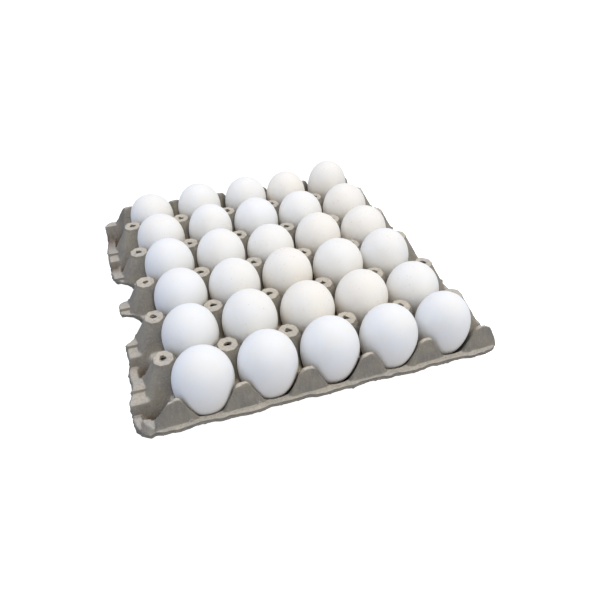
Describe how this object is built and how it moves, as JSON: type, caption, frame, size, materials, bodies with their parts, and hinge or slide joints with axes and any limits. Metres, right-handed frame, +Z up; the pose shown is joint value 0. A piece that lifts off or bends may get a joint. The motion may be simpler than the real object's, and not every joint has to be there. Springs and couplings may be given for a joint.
{
  "type": "egg tray with eggs",
  "caption": "Open square moulded-pulp egg tray with hollow posts and leaning end gables, every cell holding a white hen's egg, blunt end up.",
  "frame": {"origin": "under the middle of the tray, on the surface it stands on", "axes": "+Z up, +X along the rows of five eggs, +Y along the rows of six eggs, away from the front edge"},
  "size_m": [0.297, 0.297, 0.0668],
  "materials": {
    "pulp": "rough matte grey moulded paper pulp, paler on its upper faces",
    "eggshell": "smooth matte white eggshell with a faint warm cast"
  },
  "bodies": {
    "root": {"tray": "pulp", "egg_r1_c1": "eggshell", "egg_r1_c2": "eggshell", "egg_r1_c3": "eggshell", "egg_r1_c4": "eggshell", "egg_r1_c5": "eggshell", "egg_r2_c1": "eggshell", "egg_r2_c2": "eggshell", "egg_r2_c3": "eggshell", "egg_r2_c4": "eggshell", "egg_r2_c5": "eggshell", "egg_r3_c1": "eggshell", "egg_r3_c2": "eggshell", "egg_r3_c3": "eggshell", "egg_r3_c4": "eggshell", "egg_r3_c5": "eggshell", "egg_r4_c1": "eggshell", "egg_r4_c2": "eggshell", "egg_r4_c3": "eggshell", "egg_r4_c4": "eggshell", "egg_r4_c5": "eggshell", "egg_r5_c1": "eggshell", "egg_r5_c2": "eggshell", "egg_r5_c3": "eggshell", "egg_r5_c4": "eggshell", "egg_r5_c5": "eggshell", "egg_r6_c1": "eggshell", "egg_r6_c2": "eggshell", "egg_r6_c3": "eggshell", "egg_r6_c4": "eggshell", "egg_r6_c5": "eggshell"}
  },
  "joints": []
}
